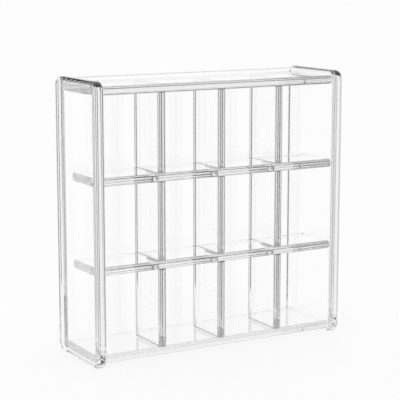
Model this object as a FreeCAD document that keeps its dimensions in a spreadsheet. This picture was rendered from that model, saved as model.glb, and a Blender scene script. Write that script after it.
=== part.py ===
import FreeCAD, Part
import os
import Sketcher

# Nail polish rack: a clear acrylic display rack with four columns and three rows of open cells.
#
# Two thick side panels carry everything. A top plate, a bottom plate and a back panel are bonded
# between them, and an egg-crate of two shelves and three dividers stands in the opening.
# A shelf and a divider cross in a halving joint: the shelf is slotted from behind and the
# divider is slotted from the front, each to the middle of its depth.
#
# Frame: +X right, +Y to the back, +Z up. The origin is on the surface that the rack stands on,
# at the middle of its width and depth. Millimetres.

# Driving dimensions, in mm. Each is one cell of the spreadsheet.
SIZES = {
    "cell_width": 56.0,       # clear width of a cell
    "cell_height": 74.0,      # clear height of a cell
    "grid_depth": 51.5,       # depth of the shelves and dividers
    "back_space": 15.5,       # open space between the grid and the back panel
    "sheet": 8.0,             # thickness of the plates, the back panel, the shelves and the dividers
    "side_sheet": 11.0,       # thickness of the side panels
    "front_reveal": 3.5,      # how far the side panels stand in front of the sheets
    "rear_reveal": 6.0,       # how far the side panels stand behind the back panel
    "top_reveal": 5.0,        # how far the side panels stand above the top plate
    "foot_height": 4.0,       # how far the side panels reach below the bottom plate
    "back_rise": 3.0,         # how far the back panel stands above the top plate
    "corner_radius": 9.0,     # corners of the side panels, seen from the side
    "side_edge_radius": 4.0,  # polished rounding round the rim of the side panels
    "edge_flat": 0.4,         # flat left along the middle of the sheets' rounded front edges
    "slot_clearance": 0.1,    # play of a sheet in its halving slot, on each side
}

DIVIDER_NAMES = ("left_divider", "middle_divider", "right_divider")
SHELF_NAMES = ("lower_shelf", "upper_shelf")
COLUMNS = len(DIVIDER_NAMES) + 1
ROWS = len(SHELF_NAMES) + 1

# Sizes and places that follow from the driving dimensions, as spreadsheet expressions.
INNER_WIDTH = f"({COLUMNS} * Sizes.cell_width + {COLUMNS - 1} * Sizes.sheet)"
INNER_HEIGHT = f"({ROWS} * Sizes.cell_height + {ROWS - 1} * Sizes.sheet)"
INNER_DEPTH = "(Sizes.grid_depth + Sizes.back_space)"
SIDE_DEPTH = f"(Sizes.front_reveal + {INNER_DEPTH} + Sizes.sheet + Sizes.rear_reveal)"
SIDE_HEIGHT = f"(Sizes.foot_height + {INNER_HEIGHT} + 2 * Sizes.sheet + Sizes.top_reveal)"
SHEET_FRONT = f"(Sizes.front_reveal - {SIDE_DEPTH} / 2)"
FLOOR_TOP = "(Sizes.foot_height + Sizes.sheet)"
SHEET_EDGE_RADIUS = "((Sizes.sheet - Sizes.edge_flat) / 2)"
SLOT_WIDTH = "(Sizes.sheet + 2 * Sizes.slot_clearance)"
SLOT_DEPTH = "(Sizes.grid_depth / 2)"
COLUMN_PITCH = "(Sizes.cell_width + Sizes.sheet)"
ROW_PITCH = "(Sizes.cell_height + Sizes.sheet)"


def make_sizes(doc):
    """Write the driving dimensions to the spreadsheet, one aliased cell each."""
    sheet = doc.addObject("Spreadsheet::Sheet", "Sizes")
    for row, (alias, value) in enumerate(SIZES.items(), start=1):
        sheet.set(f"A{row}", alias)
        sheet.set(f"B{row}", str(value))
        sheet.setAlias(f"B{row}", alias)
    doc.recompute()
    return sheet


def origin_plane(body, role):
    """Return the body's own origin plane that has this role."""
    return next(feature for feature in body.Origin.OriginFeatures if feature.Role == role)


def place(body, x, y, z):
    """Tie the body's place to the spreadsheet. Each argument is an expression."""
    body.setExpression("Placement.Base.x", x)
    body.setExpression("Placement.Base.y", y)
    body.setExpression("Placement.Base.z", z)


def rectangle_sketch(body, name, plane_role, size_1, size_2, offset_1="0", offset_2="0"):
    """Sketch a rectangle on an origin plane. Its near corner lies at the two offsets.

    The sizes and offsets are expressions along the sketch's own two axes.
    """
    sketch = body.newObject("Sketcher::SketchObject", name)
    sketch.AttachmentSupport = [(origin_plane(body, plane_role), "")]
    sketch.MapMode = "FlatFace"
    corners = [FreeCAD.Vector(*point, 0) for point in ((1, 1), (11, 1), (11, 11), (1, 11))]
    for start, end in zip(corners, corners[1:] + corners[:1]):
        sketch.addGeometry(Part.LineSegment(start, end), False)
    for line in range(4):
        sketch.addConstraint(Sketcher.Constraint("Coincident", line, 2, (line + 1) % 4, 1))
        sketch.addConstraint(Sketcher.Constraint("Vertical" if line % 2 else "Horizontal", line))
    for label, kind, size in (("size_1", "DistanceX", size_1), ("size_2", "DistanceY", size_2)):
        line = 0 if kind == "DistanceX" else 1
        number = sketch.addConstraint(Sketcher.Constraint(kind, line, 1, line, 2, 10.0))
        sketch.renameConstraint(number, label)
        sketch.setExpression(f"Constraints.{label}", size)
    for label, kind, offset in (("offset_1", "DistanceX", offset_1), ("offset_2", "DistanceY", offset_2)):
        number = sketch.addConstraint(Sketcher.Constraint(kind, -1, 1, 0, 1, 1.0))
        sketch.renameConstraint(number, label)
        sketch.setExpression(f"Constraints.{label}", offset)
    return sketch


def pad(body, sketch, thickness):
    """Pad a sketch along its normal by an expression."""
    feature = body.newObject("PartDesign::Pad", "Pad")
    feature.Profile = sketch
    feature.setExpression("Length", thickness)
    sketch.Visibility = False
    body.Document.recompute()
    return feature


def edge_names(shape, test):
    """Name the edges of a shape that pass a test."""
    return [f"Edge{number}" for number, edge in enumerate(shape.Edges, start=1) if test(edge)]


def round_edges(body, base, name, radius, test):
    """Round the edges of the base feature that pass a test, by a radius expression."""
    feature = body.newObject("PartDesign::Fillet", name)
    feature.Base = (base, edge_names(base.Shape, test))
    feature.setExpression("Radius", radius)
    body.Document.recompute()
    return feature


def runs_along(axis):
    """Test for a straight edge that runs along an axis, given as a vector."""

    def test(edge):
        step = edge.Vertexes[-1].Point - edge.Vertexes[0].Point
        return step.Length > 0 and abs(step.dot(axis)) > 0.999 * step.Length

    return test


def lies_across_x(edge):
    """Tell whether an edge keeps one X all along, as the rim of a side panel's face does."""
    return edge.BoundBox.XLength < 1e-6


def on_front(edge):
    """Tell whether an edge lies in the plane of the sheets' front, which is Y = 0 in each body."""
    return edge.BoundBox.YMax < 1e-6


def new_body(doc, label):
    """Start the body of one sub-part."""
    body = doc.addObject("PartDesign::Body", label)
    body.Label = label
    return body


def make_side_panel(doc, label, left_face):
    """Make a side panel: a thick rounded rectangle with a polished rim that stands on the table."""
    body = new_body(doc, label)
    outline = rectangle_sketch(body, "Outline", "YZ_Plane", SIDE_DEPTH, SIDE_HEIGHT)
    blank = pad(body, outline, "Sizes.side_sheet")
    corners = round_edges(body, blank, "Corners", "Sizes.corner_radius", runs_along(FreeCAD.Vector(1, 0, 0)))
    round_edges(body, corners, "Rim", "Sizes.side_edge_radius", lies_across_x)
    place(body, left_face, f"-{SIDE_DEPTH} / 2", "0")
    return body


def round_front(body, base, along):
    """Round both long arrises of a sheet's front edge to a bull nose. The edge runs along an axis."""
    runs = runs_along(along)
    return round_edges(body, base, "FrontEdge", SHEET_EDGE_RADIUS, lambda edge: runs(edge) and on_front(edge))


def make_plate(doc, label, base_height):
    """Make the top or bottom plate: a sheet between the side panels, in front of the back panel."""
    body = new_body(doc, label)
    outline = rectangle_sketch(body, "Outline", "XY_Plane", INNER_WIDTH, INNER_DEPTH)
    blank = pad(body, outline, "Sizes.sheet")
    round_front(body, blank, FreeCAD.Vector(1, 0, 0))
    place(body, f"-{INNER_WIDTH} / 2", SHEET_FRONT, base_height)
    return body


def make_back_panel(doc):
    """Make the back panel: it closes the rack behind both plates and stands proud of the top one."""
    body = new_body(doc, "back_panel")
    height = f"({INNER_HEIGHT} + 2 * Sizes.sheet + Sizes.back_rise)"
    outline = rectangle_sketch(body, "Outline", "XY_Plane", INNER_WIDTH, "Sizes.sheet")
    pad(body, outline, height)
    place(body, f"-{INNER_WIDTH} / 2", f"{SHEET_FRONT} + {INNER_DEPTH}", "Sizes.foot_height")
    return body


def make_shelf(doc, label, level):
    """Make a shelf: a sheet slotted from behind for each divider. Level 1 is the lower shelf."""
    body = new_body(doc, label)
    outline = rectangle_sketch(body, "Outline", "XY_Plane", INNER_WIDTH, "Sizes.grid_depth")
    blank = pad(body, outline, "Sizes.sheet")
    first = "Sizes.cell_width - Sizes.slot_clearance"
    slot_outline = rectangle_sketch(
        body, "SlotOutline", "XY_Plane", SLOT_WIDTH, SLOT_DEPTH, first, SLOT_DEPTH
    )
    slot = cut_slot(body, slot_outline, "Sizes.sheet")
    slots = repeat_slot(body, slot, slot_outline, "H_Axis", COLUMN_PITCH, len(DIVIDER_NAMES))
    round_front(body, slots, FreeCAD.Vector(1, 0, 0))
    place(body, f"-{INNER_WIDTH} / 2", SHEET_FRONT, f"{FLOOR_TOP} + {level} * {ROW_PITCH} - Sizes.sheet")
    return body


def make_divider(doc, label, column):
    """Make a divider: a sheet slotted from the front for each shelf. Column 1 is the left divider."""
    body = new_body(doc, label)
    outline = rectangle_sketch(body, "Outline", "YZ_Plane", "Sizes.grid_depth", INNER_HEIGHT)
    blank = pad(body, outline, "Sizes.sheet")
    first = "Sizes.cell_height - Sizes.slot_clearance"
    slot_outline = rectangle_sketch(
        body, "SlotOutline", "YZ_Plane", SLOT_DEPTH, SLOT_WIDTH, "0", first
    )
    slot = cut_slot(body, slot_outline, "Sizes.sheet")
    slots = repeat_slot(body, slot, slot_outline, "V_Axis", ROW_PITCH, len(SHELF_NAMES))
    round_front(body, slots, FreeCAD.Vector(0, 0, 1))
    place(body, f"-{INNER_WIDTH} / 2 + {column} * {COLUMN_PITCH} - Sizes.sheet", SHEET_FRONT, FLOOR_TOP)
    return body


def cut_slot(body, outline, depth):
    """Cut one halving slot through a sheet, on the side that the sheet was padded to."""
    slot = body.newObject("PartDesign::Pocket", "Slot")
    slot.Profile = outline
    slot.Reversed = True
    slot.setExpression("Length", depth)
    outline.Visibility = False
    body.Document.recompute()
    return slot


def repeat_slot(body, slot, outline, axis, pitch, count):
    """Repeat a slot along one axis of its own sketch."""
    slots = body.newObject("PartDesign::LinearPattern", "Slots")
    slots.Originals = [slot]
    slots.Direction = (outline, [axis])
    slots.Occurrences = count
    slots.setExpression("Length", f"{pitch} * {count - 1}")
    body.Tip = slots
    body.Document.recompute()
    return slots


def make_rack(doc):
    """Make every sub-part of the rack."""
    bodies = [
        make_side_panel(doc, "left_side_panel", f"-{INNER_WIDTH} / 2 - Sizes.side_sheet"),
        make_side_panel(doc, "right_side_panel", f"{INNER_WIDTH} / 2"),
        make_plate(doc, "bottom_plate", "Sizes.foot_height"),
        make_plate(doc, "top_plate", f"{FLOOR_TOP} + {INNER_HEIGHT}"),
        make_back_panel(doc),
    ]
    bodies += [make_shelf(doc, name, level) for level, name in enumerate(SHELF_NAMES, start=1)]
    bodies += [make_divider(doc, name, column) for column, name in enumerate(DIVIDER_NAMES, start=1)]
    return bodies


def check(doc, bodies):
    """Stop if any object failed to compute or any sub-part isn't one valid solid."""
    for item in doc.Objects:
        if {"Invalid", "Error"} & set(item.State):
            raise RuntimeError(f"{item.Label} failed: {item.State}")
    for body in bodies:
        if body.Shape.isNull() or not body.Shape.isValid() or len(body.Shape.Solids) != 1:
            raise RuntimeError(f"{body.Label} isn't one valid solid")


def write_steps(bodies):
    """Write each sub-part to a STEP file named after its node."""
    os.makedirs("parts", exist_ok=True)
    for body in bodies:
        body.Shape.exportStep(f"parts/{body.Label}.step")


document = FreeCAD.newDocument("NailPolishRack")
make_sizes(document)
rack = make_rack(document)
document.recompute()
check(document, rack)
write_steps(rack)
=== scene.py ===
"""Nail polish rack: the visual model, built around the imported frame.

The rack is an assembly of clear cast acrylic sheets: two thick side panels, a top and a bottom
plate, a back panel, and an egg-crate of two shelves and three dividers. Every piece stands where
its CAD node stands, and replaces it, so that its polished edges and its joints can be modelled.
All lengths are metres unless a name says mm. +X is right, +Y is the back, +Z is up.
"""

from __future__ import annotations

import logging
import math
from dataclasses import dataclass, field
from enum import Enum
from typing import Any, Callable

import bmesh
import bpy
from mathutils import Matrix, Vector


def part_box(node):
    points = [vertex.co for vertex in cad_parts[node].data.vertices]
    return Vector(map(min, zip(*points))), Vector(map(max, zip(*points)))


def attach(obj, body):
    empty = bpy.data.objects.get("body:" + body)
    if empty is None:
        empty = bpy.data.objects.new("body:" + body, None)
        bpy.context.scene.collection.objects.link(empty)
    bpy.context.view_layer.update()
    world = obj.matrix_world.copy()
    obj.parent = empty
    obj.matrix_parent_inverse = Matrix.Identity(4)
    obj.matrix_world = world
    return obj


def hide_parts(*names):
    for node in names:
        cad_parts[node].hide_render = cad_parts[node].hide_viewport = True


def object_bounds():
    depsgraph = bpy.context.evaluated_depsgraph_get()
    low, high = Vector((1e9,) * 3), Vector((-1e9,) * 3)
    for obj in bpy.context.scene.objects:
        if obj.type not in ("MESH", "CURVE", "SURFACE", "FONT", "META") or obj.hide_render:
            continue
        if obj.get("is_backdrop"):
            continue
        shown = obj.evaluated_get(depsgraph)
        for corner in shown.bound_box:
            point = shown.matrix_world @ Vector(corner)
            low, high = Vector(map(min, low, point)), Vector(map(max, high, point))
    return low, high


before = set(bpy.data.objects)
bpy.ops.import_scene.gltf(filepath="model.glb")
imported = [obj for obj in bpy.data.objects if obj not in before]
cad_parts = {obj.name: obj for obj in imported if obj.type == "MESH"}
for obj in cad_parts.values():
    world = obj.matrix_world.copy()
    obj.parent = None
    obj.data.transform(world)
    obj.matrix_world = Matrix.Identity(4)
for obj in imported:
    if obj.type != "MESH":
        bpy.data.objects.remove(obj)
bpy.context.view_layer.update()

LOG = logging.getLogger("nail_polish_rack")
MM = 0.001

BODY = "root"

BOND_GAP = 0.02 * MM  # film of cement between two bonded faces
SAME_PLACE = 1e-6  # two places nearer than this are taken as one
WELD = 1e-7  # corners nearer than this are merged
BROAD_FACE = 0.9999  # least share of a broad face's normal along the sheet's thickness
END_FACE = 0.99  # least share of an end face's normal along the sheet's length
CUTTER_HEIGHT = 3.0  # height of a slot's cutter, in thicknesses of the sheet


class Axis(Enum):
    """The way that a sheet's length runs once it stands in the rack."""

    ACROSS = "across"
    UPRIGHT = "upright"


class Zone(Enum):
    """The surfaces of a sheet, each with its own finish. The value is the material slot."""

    FACE = 0
    EDGE = 1
    JOINT = 2


# ---------------------------------------------------------------------------------------------
# Small helpers
# ---------------------------------------------------------------------------------------------


def srgb(hex_code: str) -> tuple[float, float, float, float]:
    """Turn an sRGB hex colour into linear RGBA.

    Args:
        hex_code: the colour as "#rrggbb".

    Returns:
        The linear red, green and blue with an alpha of 1.
    """

    def linear(value: float) -> float:
        """Turn one sRGB channel to linear."""
        return value / 12.92 if value <= 0.04045 else ((value + 0.055) / 1.055) ** 2.4

    red, green, blue = (linear(int(hex_code[i : i + 2], 16) / 255) for i in (1, 3, 5))
    return red, green, blue, 1.0


def add_node(
    tree: bpy.types.NodeTree,
    kind: str,
    inputs: dict[str | int, Any] | None = None,
    **settings: Any,
) -> bpy.types.Node:
    """Add one node with its settings, values and links.

    Args:
        tree: the node tree to add to.
        kind: the node's type name.
        inputs: a value, or an output socket to link from, for each input by name or number.
        settings: the node's own properties.

    Returns:
        The new node.
    """
    node = tree.nodes.new(kind)
    for name, value in settings.items():
        setattr(node, name, value)
    for key, value in (inputs or {}).items():
        socket = node.inputs[key]
        if isinstance(value, bpy.types.NodeSocket):
            tree.links.new(value, socket)
        else:
            socket.default_value = value
    return node


def clear_tree(tree: bpy.types.NodeTree) -> bpy.types.NodeTree:
    """Empty a node tree and return it."""
    tree.nodes.clear()
    return tree


def turned_light(tree: bpy.types.NodeTree) -> bpy.types.NodeSocket:
    """Add the nodes that tell light reflected on its way from light that went straight through.

    Args:
        tree: the tree of the world or of a material.

    Returns:
        A factor: 1 for light that was reflected at least once, and 0 for the rest.
    """
    path = add_node(tree, "ShaderNodeLightPath")
    return add_node(
        tree, "ShaderNodeMath", {0: path.outputs["Glossy Depth"], 1: 0.5}, operation="GREATER_THAN"
    ).outputs[0]


# ---------------------------------------------------------------------------------------------
# Finishes
# ---------------------------------------------------------------------------------------------


@dataclass(frozen=True)
class AcrylicFinish:
    """Clear cast acrylic (PMMA). It is colourless and glass-clear, and bends light by 1.49."""

    name: str
    tint: str = "#ffffff"
    ior: float = 1.49
    roughness: float = 0.0
    ripple_mm: float = 60.0
    ripple_height_mm: float = 0.002

    def make(self) -> bpy.types.Material:
        """Build the material.

        Returns:
            A new material with the name of this finish.
        """
        material = bpy.data.materials.new(self.name)
        material.use_nodes = True
        tree = clear_tree(material.node_tree)
        place = add_node(tree, "ShaderNodeTexCoord")
        ripple = add_node(
            tree,
            "ShaderNodeTexNoise",
            {
                "Vector": place.outputs["Object"],
                "Scale": 1 / (self.ripple_mm * MM),
                "Detail": 1.0,
            },
        )
        bump = add_node(
            tree,
            "ShaderNodeBump",
            {
                "Height": ripple.outputs["Fac"],
                "Distance": self.ripple_height_mm * MM,
                "Strength": 1.0,
            },
        )
        shader = add_node(
            tree,
            "ShaderNodeBsdfPrincipled",
            {
                "Base Color": srgb(self.tint),
                "Roughness": self.roughness,
                "IOR": self.ior,
                "Transmission Weight": 1.0,
                "Normal": bump.outputs["Normal"],
            },
        )
        add_node(tree, "ShaderNodeOutputMaterial", {"Surface": shader.outputs[0]})
        return material


# ---------------------------------------------------------------------------------------------
# Sheets
# ---------------------------------------------------------------------------------------------


def finish_piece(
    name: str, mesh: bpy.types.Mesh, finishes: list[bpy.types.Material], node: str
) -> bpy.types.Object:
    """Turn a mesh into a finished piece that rides in the frame and stands for its CAD node.

    Args:
        name: the piece's name.
        mesh: its mesh, already at its place in the rack.
        finishes: the materials, in the order of Zone.
        node: the CAD node that the piece replaces.

    Returns:
        The new object.
    """
    zones = [polygon.material_index for polygon in mesh.polygons]
    mesh.materials.clear()
    for finish in finishes:
        mesh.materials.append(finish)
    for polygon, zone in zip(mesh.polygons, zones):
        polygon.material_index = zone
    piece = bpy.data.objects.new(name, mesh)
    bpy.context.scene.collection.objects.link(piece)
    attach(piece, BODY)
    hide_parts(node)
    return piece


def keep_faces_flat(mesh: bpy.types.Mesh, sharp_deg: float = 40.0) -> bpy.types.Mesh:
    """Shade the roundings smooth and keep the broad faces optically flat.

    Args:
        mesh: the mesh to shade.
        sharp_deg: the least angle between two faces whose shared edge stays sharp.

    Returns:
        A new mesh with its normals weighted by face area.
    """
    zones = [polygon.material_index for polygon in mesh.polygons]
    for polygon in mesh.polygons:
        polygon.use_smooth = True
    mesh.set_sharp_from_angle(angle=math.radians(sharp_deg))
    carrier = bpy.data.objects.new("carrier", mesh)
    bpy.context.scene.collection.objects.link(carrier)
    weighted = carrier.modifiers.new("Normals", "WEIGHTED_NORMAL")
    weighted.keep_sharp = True
    weighted.weight = 100
    graph = bpy.context.evaluated_depsgraph_get()
    result = bpy.data.meshes.new_from_object(carrier.evaluated_get(graph))
    for polygon, zone in zip(result.polygons, zones):
        polygon.material_index = zone
    bpy.data.objects.remove(carrier)
    bpy.data.meshes.remove(mesh)
    return result


@dataclass
class SidePanel:
    """A thick side panel: a rounded rectangle seen from the side, with a rounded, polished rim."""

    node: str
    corner_radius: float = 9.0 * MM
    rim_radius: float = 4.0 * MM
    corner_steps: int = 20
    rim_steps: int = 10

    def outline(self, inset: float, low: Vector, high: Vector) -> list[tuple[float, float]]:
        """Give the outline in the YZ plane, set in from the full size.

        Args:
            inset: how far the outline is set in.
            low: the panel's lowest corner.
            high: the panel's highest corner.

        Returns:
            The outline's points, anticlockwise seen from +X.
        """
        radius = self.corner_radius
        points = []
        for number, (y, z) in enumerate(
            (
                (high.y - radius, high.z - radius),
                (low.y + radius, high.z - radius),
                (low.y + radius, low.z + radius),
                (high.y - radius, low.z + radius),
            )
        ):
            for step in range(self.corner_steps + 1):
                angle = math.radians(90 * (number + step / self.corner_steps))
                reach = radius - inset
                points.append((y + reach * math.cos(angle), z + reach * math.sin(angle)))
        return points

    def build(self) -> bpy.types.Mesh:
        """Loft the panel from its outline, set in along a quarter circle at each side.

        Returns:
            The panel's mesh, at its place.
        """
        low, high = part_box(self.node)
        rim = self.rim_radius
        turns = [math.radians(90 * step / self.rim_steps) for step in range(self.rim_steps + 1)]
        quarter = [(rim * (1 - math.sin(turn)), rim * (1 - math.cos(turn))) for turn in turns]
        profile = [(inset, low.x + rise) for inset, rise in quarter]
        profile += [(inset, high.x - rise) for inset, rise in reversed(quarter)]
        shape = bmesh.new()
        rings = [
            [shape.verts.new((x, y, z)) for y, z in self.outline(inset, low, high)]
            for inset, x in profile
        ]
        count = len(rings[0])
        shape.faces.new(list(reversed(rings[0]))).material_index = Zone.FACE.value
        shape.faces.new(rings[-1]).material_index = Zone.FACE.value
        for first, second in zip(rings, rings[1:]):
            for i in range(count):
                j = (i + 1) % count
                face = shape.faces.new((first[i], first[j], second[j], second[i]))
                face.material_index = Zone.EDGE.value
        shape.normal_update()
        mesh = bpy.data.meshes.new(self.node)
        shape.to_mesh(mesh)
        shape.free()
        return keep_faces_flat(mesh)

    def dress(self, finishes: list[bpy.types.Material]) -> bpy.types.Object:
        """Build the panel and dress it in its finishes."""
        return finish_piece(f"{self.node}_polished", self.build(), finishes, self.node)


def round_long_edges(shape: bmesh.types.BMesh, depth: float, radius: float, steps: int) -> None:
    """Round the edges that run along a sheet's length at one depth.

    Args:
        shape: the sheet, with its length along X and its depth along Y.
        depth: the place of the edges along Y.
        radius: the radius of the rounding.
        steps: the number of facets across it.
    """
    edges = [
        edge
        for edge in shape.edges
        if all(abs(vert.co.y - depth) < SAME_PLACE for vert in edge.verts)
        and abs(edge.verts[0].co.x - edge.verts[1].co.x) > SAME_PLACE
    ]
    bmesh.ops.bevel(
        shape,
        geom=edges,
        offset=radius,
        offset_type="OFFSET",
        segments=steps,
        profile=0.5,
        affect="EDGES",
    )


def paint_edges(
    shape: bmesh.types.BMesh,
    thickness_axis: int,
    cemented: Callable[[bmesh.types.BMFace], bool] = lambda face: False,
) -> None:
    """Give every face that isn't one of the sheet's two broad faces an edge's finish.

    Args:
        shape: the sheet.
        thickness_axis: the axis that the sheet's thickness lies along.
        cemented: tells whether an edge face is cemented to a neighbour; such a face takes the
            joint finish, whose dark tint is painted shade.
    """
    shape.normal_update()
    for face in shape.faces:
        if abs(face.normal[thickness_axis]) > BROAD_FACE:
            zone = Zone.FACE
        else:
            zone = Zone.JOINT if cemented(face) else Zone.EDGE
        face.material_index = zone.value


@dataclass
class Plate:
    """A plain rectangular sheet that is bonded between its neighbours.

    Its front and rear edges are rounded, unless all its edges are bonded on.
    """

    node: str
    thickness_axis: int
    rounded: bool = True
    front_radius: float = 3.8 * MM
    rear_radius: float = 2.0 * MM
    steps: int = 12
    set_back: dict[str, float] = field(default_factory=dict)

    def build(self) -> bpy.types.Mesh:
        """Make the sheet, with a bull nose along its front and a softer edge at its rear.

        Returns:
            The sheet's mesh, at its place.
        """
        low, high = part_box(self.node)
        for side, gap in self.set_back.items():
            corner, axis = (low, -1) if side[0] == "-" else (high, 1)
            corner["xyz".index(side[1])] -= axis * gap
        shape = bmesh.new()
        size, middle = high - low, (high + low) / 2
        bmesh.ops.create_cube(
            shape, size=1.0, matrix=Matrix.Translation(middle) @ Matrix.Diagonal((*size, 1.0))
        )
        if self.rounded:
            round_long_edges(shape, low.y, self.front_radius, self.steps)
            round_long_edges(shape, high.y, self.rear_radius, self.steps)
        paint_edges(shape, self.thickness_axis)
        mesh = bpy.data.meshes.new(self.node)
        shape.to_mesh(mesh)
        shape.free()
        return keep_faces_flat(mesh)

    def dress(self, finishes: list[bpy.types.Material]) -> bpy.types.Object:
        """Build the sheet and dress it in its finishes."""
        return finish_piece(f"{self.node}_polished", self.build(), finishes, self.node)


class SlottedSheetTree:
    """The Geometry Nodes tree of an egg-crate sheet: a blank with a row of halving slots.

    The sheet lies flat: its length along X, its depth along Y and its thickness along Z, from
    the origin. The slots stand in one row at one pitch.
    """

    LENGTHS = (
        "Length",
        "Depth",
        "Thickness",
        "First Slot",
        "Pitch",
        "Slot Width",
        "Slot Middle",
        "Slot Reach",
    )

    def __init__(self) -> None:
        """Build the tree. First Slot and Slot Middle are the middle of the first slot."""
        self.tree = bpy.data.node_groups.new("slotted_sheet", "GeometryNodeTree")
        sockets = self.tree.interface
        for name in self.LENGTHS:
            sockets.new_socket(name, in_out="INPUT", socket_type="NodeSocketFloat")
        sockets.new_socket("Slots", in_out="INPUT", socket_type="NodeSocketInt")
        sockets.new_socket("Finish", in_out="INPUT", socket_type="NodeSocketMaterial")
        sockets.new_socket("Geometry", in_out="OUTPUT", socket_type="NodeSocketGeometry")
        given = add_node(self.tree, "NodeGroupInput").outputs
        size = add_node(
            self.tree,
            "ShaderNodeCombineXYZ",
            {"X": given["Length"], "Y": given["Depth"], "Z": given["Thickness"]},
        )
        middle = add_node(
            self.tree,
            "ShaderNodeVectorMath",
            {0: size.outputs[0], "Scale": 0.5},
            operation="SCALE",
        )
        sheet = add_node(self.tree, "GeometryNodeMeshCube", {"Size": size.outputs[0]})
        blank = add_node(
            self.tree,
            "GeometryNodeTransform",
            {"Geometry": sheet.outputs["Mesh"], "Translation": middle.outputs[0]},
        )
        tall = add_node(
            self.tree,
            "ShaderNodeMath",
            {0: given["Thickness"], 1: CUTTER_HEIGHT},
            operation="MULTIPLY",
        )
        slot = add_node(
            self.tree,
            "ShaderNodeCombineXYZ",
            {"X": given["Slot Width"], "Y": given["Slot Reach"], "Z": tall.outputs[0]},
        )
        cutter = add_node(self.tree, "GeometryNodeMeshCube", {"Size": slot.outputs[0]})
        level = add_node(self.tree, "ShaderNodeSeparateXYZ", {0: middle.outputs[0]})
        first = add_node(
            self.tree,
            "ShaderNodeCombineXYZ",
            {"X": given["First Slot"], "Y": given["Slot Middle"], "Z": level.outputs["Z"]},
        )
        step = add_node(self.tree, "ShaderNodeCombineXYZ", {"X": given["Pitch"]})
        row = add_node(
            self.tree,
            "GeometryNodeMeshLine",
            {
                "Count": given["Slots"],
                "Start Location": first.outputs[0],
                "Offset": step.outputs[0],
            },
            mode="OFFSET",
        )
        cutters = add_node(
            self.tree,
            "GeometryNodeInstanceOnPoints",
            {"Points": row.outputs["Mesh"], "Instance": cutter.outputs["Mesh"]},
        )
        real = add_node(
            self.tree, "GeometryNodeRealizeInstances", {"Geometry": cutters.outputs["Instances"]}
        )
        cut = add_node(
            self.tree,
            "GeometryNodeMeshBoolean",
            {0: blank.outputs["Geometry"], 1: real.outputs["Geometry"]},
            operation="DIFFERENCE",
            solver="EXACT",
        )
        whole = add_node(
            self.tree, "GeometryNodeRealizeInstances", {"Geometry": cut.outputs["Mesh"]}
        )
        dressed = add_node(
            self.tree,
            "GeometryNodeSetMaterial",
            {"Geometry": whole.outputs["Geometry"], "Material": given["Finish"]},
        )
        add_node(self.tree, "NodeGroupOutput", {"Geometry": dressed.outputs["Geometry"]})

    def make(
        self, name: str, finish: bpy.types.Material, slots: int, **sizes: float
    ) -> bpy.types.Mesh:
        """Run the tree once.

        Args:
            name: the name of the new mesh.
            finish: the material that the tree sets.
            slots: the number of slots.
            sizes: a value for each of LENGTHS, with underscores for spaces, in small letters.

        Returns:
            A plain mesh, lying flat.
        """
        carrier = bpy.data.objects.new(name, bpy.data.meshes.new(f"{name}_seed"))
        bpy.context.scene.collection.objects.link(carrier)
        modifier = carrier.modifiers.new("Sheet", "NODES")
        modifier.node_group = self.tree
        values = {key.replace("_", " ").title(): value for key, value in sizes.items()}
        values.update({"Slots": slots, "Finish": finish})
        for item in self.tree.interface.items_tree:
            if item.in_out == "INPUT":
                modifier[item.identifier] = values[item.name]
        graph = bpy.context.evaluated_depsgraph_get()
        mesh = bpy.data.meshes.new_from_object(carrier.evaluated_get(graph))
        mesh.name = name
        seed = carrier.data
        bpy.data.objects.remove(carrier)
        bpy.data.meshes.remove(seed)
        return mesh


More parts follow.
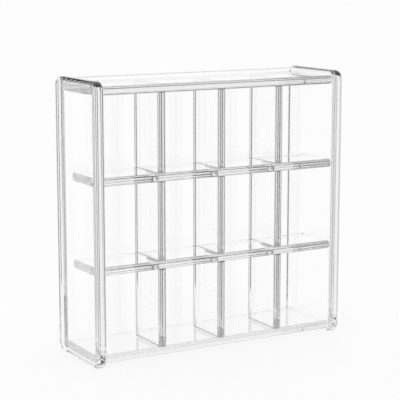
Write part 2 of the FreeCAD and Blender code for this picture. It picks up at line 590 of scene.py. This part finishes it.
@dataclass
class SlottedSheet:
    """A shelf or a divider of the egg-crate, slotted to the middle of its depth."""

    node: str
    lies: Axis
    first_crossing: str
    crossings: int
    pitch: float
    slot_from_front: bool
    front_radius: float = 3.8 * MM
    rear_radius: float = 3.8 * MM
    slot_play: float = 0.1 * MM
    slot_overrun: float = 0.05 * MM
    cutter_margin: float = 1.0 * MM
    steps: int = 12

    def build(self, tree: SlottedSheetTree, finish: bpy.types.Material) -> bpy.types.Mesh:
        """Make the sheet flat, round its front and rear edges and stand it at its place.

        Args:
            tree: the tree that cuts the blank.
            finish: the material of the broad faces.

        Returns:
            The sheet's mesh, at its place.
        """
        low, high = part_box(self.node)
        crossing_low, crossing_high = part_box(self.first_crossing)
        along = 0 if self.lies is Axis.ACROSS else 2
        through = 2 if self.lies is Axis.ACROSS else 0
        depth = high.y - low.y
        crossing = (crossing_low[along] + crossing_high[along]) / 2
        reach = depth / 2 + self.slot_overrun + self.cutter_margin
        open_end = -self.cutter_margin if self.slot_from_front else depth + self.cutter_margin
        mesh = tree.make(
            self.node,
            finish,
            self.crossings,
            length=high[along] - low[along] - 2 * BOND_GAP,
            depth=depth,
            thickness=high[through] - low[through],
            first_slot=crossing - low[along] - BOND_GAP,
            pitch=self.pitch,
            slot_width=crossing_high[along] - crossing_low[along] + 2 * self.slot_play,
            slot_middle=open_end + (reach / 2 if self.slot_from_front else -reach / 2),
            slot_reach=reach,
        )
        shape = bmesh.new()
        shape.from_mesh(mesh)
        bmesh.ops.remove_doubles(shape, verts=shape.verts, dist=WELD)
        round_long_edges(shape, 0.0, self.front_radius, self.steps)
        round_long_edges(shape, depth, self.rear_radius, self.steps)
        upright = self.lies is Axis.UPRIGHT
        # The dividers' end faces take the joint finish, whose dark tint is painted shade.
        paint_edges(shape, 2, lambda face: upright and abs(face.normal.x) > END_FACE)
        if upright:
            # Length to Z, depth stays along Y, thickness to X. The swap mirrors the sheet.
            swap = Matrix(((0, 0, 1, 0), (0, 1, 0, 0), (1, 0, 0, 0), (0, 0, 0, 1)))
            shape.transform(swap)
            bmesh.ops.reverse_faces(shape, faces=shape.faces)
        shift = Vector(low)
        shift[along] += BOND_GAP
        shape.transform(Matrix.Translation(shift))
        shape.to_mesh(mesh)
        shape.free()
        return keep_faces_flat(mesh)

    def dress(
        self, tree: SlottedSheetTree, finishes: list[bpy.types.Material]
    ) -> bpy.types.Object:
        """Build the sheet and dress it in its finishes."""
        mesh = self.build(tree, finishes[Zone.FACE.value])
        return finish_piece(f"{self.node}_polished", mesh, finishes, self.node)


# ---------------------------------------------------------------------------------------------
# Studio
# ---------------------------------------------------------------------------------------------


@dataclass(frozen=True)
class SkyPatch:
    """A soft-edged rectangle of the studio's sky, for a white panel or a dark gap."""

    azimuth_deg: float
    width_deg: float
    elevation_deg: float
    height_deg: float
    softness_deg: float = 2.5

    def band(
        self, tree: bpy.types.NodeTree, angle: bpy.types.NodeSocket, middle: float, width: float
    ) -> bpy.types.NodeSocket:
        """Add the nodes of a soft-edged band of one angle.

        Args:
            tree: the world's tree.
            angle: the angle of the view, in radians.
            middle: the middle of the band, in degrees.
            width: the width of the band, in degrees.

        Returns:
            A factor: 1 inside the band and 0 outside it.
        """
        away = add_node(
            tree, "ShaderNodeMath", {0: angle, 1: math.radians(middle)}, operation="SUBTRACT"
        )
        wrapped = add_node(
            tree,
            "ShaderNodeMath",
            {0: away.outputs[0], 1: math.pi, 2: -math.pi},
            operation="WRAP",
        )
        distance = add_node(tree, "ShaderNodeMath", {0: wrapped.outputs[0]}, operation="ABSOLUTE")
        half, soft = width / 2, self.softness_deg / 2
        return add_node(
            tree,
            "ShaderNodeMapRange",
            {
                "Value": distance.outputs[0],
                "From Min": math.radians(half - soft),
                "From Max": math.radians(half + soft),
                "To Min": 1.0,
                "To Max": 0.0,
            },
            interpolation_type="SMOOTHSTEP",
        ).outputs[0]

    def cover(
        self,
        tree: bpy.types.NodeTree,
        azimuth: bpy.types.NodeSocket,
        elevation: bpy.types.NodeSocket,
    ) -> bpy.types.NodeSocket:
        """Add the nodes of the patch.

        Args:
            tree: the world's tree.
            azimuth: the azimuth of the view, in radians from +Y towards +X.
            elevation: the elevation of the view, in radians.

        Returns:
            A factor: 1 inside the patch and 0 outside it.
        """
        across = self.band(tree, azimuth, self.azimuth_deg, self.width_deg)
        upright = self.band(tree, elevation, self.elevation_deg, self.height_deg)
        return add_node(
            tree, "ShaderNodeMath", {0: across, 1: upright}, operation="MULTIPLY"
        ).outputs[0]


@dataclass
class Studio:
    """A bright-field studio: a white backdrop, and white panels with dark gaps between them.

    Light that goes straight through the rack meets the white backdrop. Light that was reflected
    inside a sheet meets the panels and the dark room, which draws the sheets' edges as dark lines.
    The gap darkens one stretch of the backdrop for light that was bent on its way.
    """

    white: str = "#fdfdfd"
    room_level: float = 0.0
    panels: tuple[SkyPatch, ...] = (
        SkyPatch(5.0, 90.0, 9.5, 23.0),
        SkyPatch(-27.5, 25.0, -9.0, 22.0),
        SkyPatch(25.0, 50.0, -9.0, 22.0),
        SkyPatch(82.5, 45.0, -5.0, 80.0),
        SkyPatch(145.5, 21.0, -5.0, 80.0),
        SkyPatch(-85.0, 60.0, -5.0, 80.0),
        SkyPatch(0.0, 362.0, 60.5, 63.0),
    )
    gap: SkyPatch = SkyPatch(54.0, 8.0, -9.0, 18.0, softness_deg=1.5)
    table_radius: float = 0.20
    table_fade: float = 0.06
    table_steps: int = 128
    table_drop: float = 0.02 * MM
    table_roughness: float = 0.22
    table_ior: float = 1.3
    shadow_share: float = 0.1
    mat_reach: float = 0.07
    bounces: int = 40
    glossy_bounces: int = 24

    def make_world(self) -> None:
        """Light the scene white from all round, with the panels for light that the rack turns."""
        world = bpy.data.worlds.new("studio")
        bpy.context.scene.world = world
        world.use_nodes = True
        tree = clear_tree(world.node_tree)
        way = add_node(tree, "ShaderNodeTexCoord")
        axes = add_node(tree, "ShaderNodeSeparateXYZ", {0: way.outputs["Generated"]})
        azimuth = add_node(
            tree,
            "ShaderNodeMath",
            {0: axes.outputs["X"], 1: axes.outputs["Y"]},
            operation="ARCTAN2",
        ).outputs[0]
        elevation = add_node(
            tree, "ShaderNodeMath", {0: axes.outputs["Z"]}, operation="ARCSINE"
        ).outputs[0]
        level: float | bpy.types.NodeSocket = self.room_level
        for panel in self.panels:
            lit = panel.cover(tree, azimuth, elevation)
            level = add_node(
                tree, "ShaderNodeMath", {0: level, 1: lit}, operation="MAXIMUM"
            ).outputs[0]
        path = add_node(tree, "ShaderNodeLightPath")
        bent = add_node(
            tree,
            "ShaderNodeMath",
            {
                0: self.gap.cover(tree, azimuth, elevation),
                1: path.outputs["Is Transmission Ray"],
            },
            operation="MULTIPLY",
        )
        straight = add_node(
            tree, "ShaderNodeMath", {0: 1.0, 1: bent.outputs[0]}, operation="SUBTRACT"
        )
        strength = add_node(
            tree,
            "ShaderNodeMix",
            {0: turned_light(tree), 2: straight.outputs[0], 3: level},
            data_type="FLOAT",
        )
        sky = add_node(
            tree,
            "ShaderNodeBackground",
            {"Color": srgb(self.white), "Strength": strength.outputs[0]},
        )
        add_node(tree, "ShaderNodeOutputWorld", {"Surface": sky.outputs[0]})

    def make_floor(self) -> None:
        """Lay a round white table under the rack, which fades into the white backdrop."""
        shape = bmesh.new()
        bmesh.ops.create_circle(
            shape,
            cap_ends=True,
            radius=self.table_radius + self.table_fade,
            segments=self.table_steps,
        )
        mesh = bpy.data.meshes.new("table_top")
        shape.to_mesh(mesh)
        shape.free()
        table = bpy.data.objects.new("table_top", mesh)
        table.location.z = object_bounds()[0].z - self.table_drop
        bpy.context.scene.collection.objects.link(table)
        material = bpy.data.materials.new("white_table_laminate")
        material.use_nodes = True
        tree = clear_tree(material.node_tree)
        place = add_node(tree, "ShaderNodeTexCoord")
        distance = add_node(
            tree, "ShaderNodeVectorMath", {0: place.outputs["Object"]}, operation="LENGTH"
        )
        fade = add_node(
            tree,
            "ShaderNodeMapRange",
            {
                "Value": distance.outputs["Value"],
                "From Min": self.table_radius,
                "From Max": self.table_radius + self.table_fade,
            },
            interpolation_type="SMOOTHSTEP",
        )
        shader = add_node(
            tree,
            "ShaderNodeBsdfPrincipled",
            {
                "Base Color": srgb(self.white),
                "Roughness": self.table_roughness,
                "IOR": self.table_ior,
            },
        )
        clear = add_node(tree, "ShaderNodeBsdfTransparent")
        white = add_node(
            tree, "ShaderNodeEmission", {"Color": srgb(self.white), "Strength": 1.0}
        )
        path = add_node(tree, "ShaderNodeLightPath")
        seen = add_node(
            tree,
            "ShaderNodeMath",
            {0: path.outputs["Is Camera Ray"], 1: path.outputs["Is Glossy Ray"]},
            operation="ADD",
            use_clamp=True,
        )
        seen = add_node(
            tree,
            "ShaderNodeMath",
            {0: seen.outputs[0], 1: path.outputs["Is Transmission Ray"]},
            operation="ADD",
            use_clamp=True,
        )
        share = add_node(
            tree,
            "ShaderNodeMath",
            {0: seen.outputs[0], 1: 1 - self.shadow_share},
            operation="MULTIPLY",
        )
        lit = add_node(
            tree,
            "ShaderNodeMixShader",
            {0: share.outputs[0], 1: shader.outputs[0], 2: white.outputs[0]},
        )
        along = add_node(tree, "ShaderNodeSeparateXYZ", {0: place.outputs["Object"]})
        reach = add_node(
            tree, "ShaderNodeMath", {0: along.outputs["Y"]}, operation="ABSOLUTE"
        )
        beyond = add_node(
            tree,
            "ShaderNodeMath",
            {0: reach.outputs[0], 1: self.mat_reach},
            operation="GREATER_THAN",
        )
        lost = add_node(
            tree,
            "ShaderNodeMath",
            {0: turned_light(tree), 1: beyond.outputs[0]},
            operation="MULTIPLY",
        )
        hidden = add_node(
            tree,
            "ShaderNodeMath",
            {0: fade.outputs[0], 1: lost.outputs[0]},
            operation="MAXIMUM",
        )
        mix = add_node(
            tree,
            "ShaderNodeMixShader",
            {0: hidden.outputs[0], 1: lit.outputs[0], 2: clear.outputs[0]},
        )
        add_node(tree, "ShaderNodeOutputMaterial", {"Surface": mix.outputs[0]})
        mesh.materials.append(material)
        table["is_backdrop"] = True

    def set_up(self) -> None:
        """Build the whole studio."""
        self.make_world()
        self.make_floor()
        scene = bpy.context.scene
        scene.view_settings.view_transform = "Standard"
        # Light crosses many sheets on its way, so few bounces would leave them black.
        scene.cycles.max_bounces = self.bounces
        scene.cycles.transmission_bounces = self.bounces
        scene.cycles.glossy_bounces = self.glossy_bounces


@dataclass
class Viewpoint:
    """The camera: in front, to the left and a little above the rack."""

    location: tuple[float, float, float] = (-0.65159, -1.11089, 0.36321)
    azimuth_deg: float = -30.25
    elevation_deg: float = 10.08
    lens_mm: float = 121.6
    sensor_mm: float = 36.0
    shift: tuple[float, float] = (0.00315, 0.0149)

    def set_up(self) -> None:
        """Make the camera and hand it to the scene."""
        data = bpy.data.cameras.new("camera")
        data.sensor_width = self.sensor_mm
        data.lens = self.lens_mm
        data.shift_x, data.shift_y = self.shift
        camera = bpy.data.objects.new("camera", data)
        turn, rise = math.radians(self.azimuth_deg), math.radians(self.elevation_deg)
        back = Vector(
            (math.sin(turn) * math.cos(rise), -math.cos(turn) * math.cos(rise), math.sin(rise))
        )
        camera.location = self.location
        camera.rotation_mode = "QUATERNION"
        camera.rotation_quaternion = (-back).to_track_quat("-Z", "Y")
        bpy.context.scene.collection.objects.link(camera)
        bpy.context.scene.camera = camera


# ---------------------------------------------------------------------------------------------
# The rack
# ---------------------------------------------------------------------------------------------


@dataclass
class Rack:
    """The whole rack, sub-assembly by sub-assembly."""

    # Cast between glass plates: flat and glass-clear, with only a long, faint waviness.
    face: AcrylicFinish = AcrylicFinish("clear_cast_acrylic_face")
    # Cut, then melted smooth with a flame: glossy and a trace greyer, with short ripples.
    edge: AcrylicFinish = AcrylicFinish(
        "clear_cast_acrylic_flame_polished_edge",
        tint="#f4f4f4",
        ripple_mm=9.0,
        ripple_height_mm=0.004,
    )
    # A film of solvent cement. A real one is much clearer: this dark tint is painted shade, a
    # choice for the front view, where it draws thin dark lines, and it reads as grey slabs from
    # above.
    joint: AcrylicFinish = AcrylicFinish(
        "acrylic_joint_painted_shade",
        tint="#3a3a3a",
        roughness=0.3,
    )

    def build(self) -> None:
        """Build every piece and report it."""
        finishes = [self.face.make(), self.edge.make(), self.joint.make()]
        dividers = ("left_divider", "middle_divider", "right_divider")
        shelves = ("lower_shelf", "upper_shelf")
        for node in ("left_side_panel", "right_side_panel"):
            self.report(SidePanel(node).dress(finishes))
        ends = {"-x": BOND_GAP, "+x": BOND_GAP}
        for node in ("bottom_plate", "top_plate"):
            plate = Plate(node, 2, set_back={**ends, "+y": BOND_GAP})
            self.report(plate.dress(finishes))
        self.report(Plate("back_panel", 1, rounded=False, set_back=ends).dress(finishes))
        tree = SlottedSheetTree()
        shelf_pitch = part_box("upper_shelf")[0].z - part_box("lower_shelf")[0].z
        divider_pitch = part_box("middle_divider")[0].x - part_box("left_divider")[0].x
        for node in shelves:
            sheet = SlottedSheet(
                node, Axis.ACROSS, dividers[0], len(dividers), divider_pitch, slot_from_front=False
            )
            self.report(sheet.dress(tree, finishes))
        for node in dividers:
            sheet = SlottedSheet(
                node, Axis.UPRIGHT, shelves[0], len(shelves), shelf_pitch, slot_from_front=True
            )
            self.report(sheet.dress(tree, finishes))

    @staticmethod
    def report(piece: bpy.types.Object) -> None:
        """Report a finished piece."""
        zones = [face.material_index for face in piece.data.polygons]
        counts = [zones.count(zone.value) for zone in Zone]
        LOG.info("%s: %d faces, by zone %s", piece.name, len(zones), counts)


def main() -> None:
    """Build the camera, the rack and the studio, in that order."""
    logging.basicConfig(level=logging.INFO, format="%(name)s: %(message)s")
    Viewpoint().set_up()
    Rack().build()
    Studio().set_up()


if __name__ == "__main__":
    main()
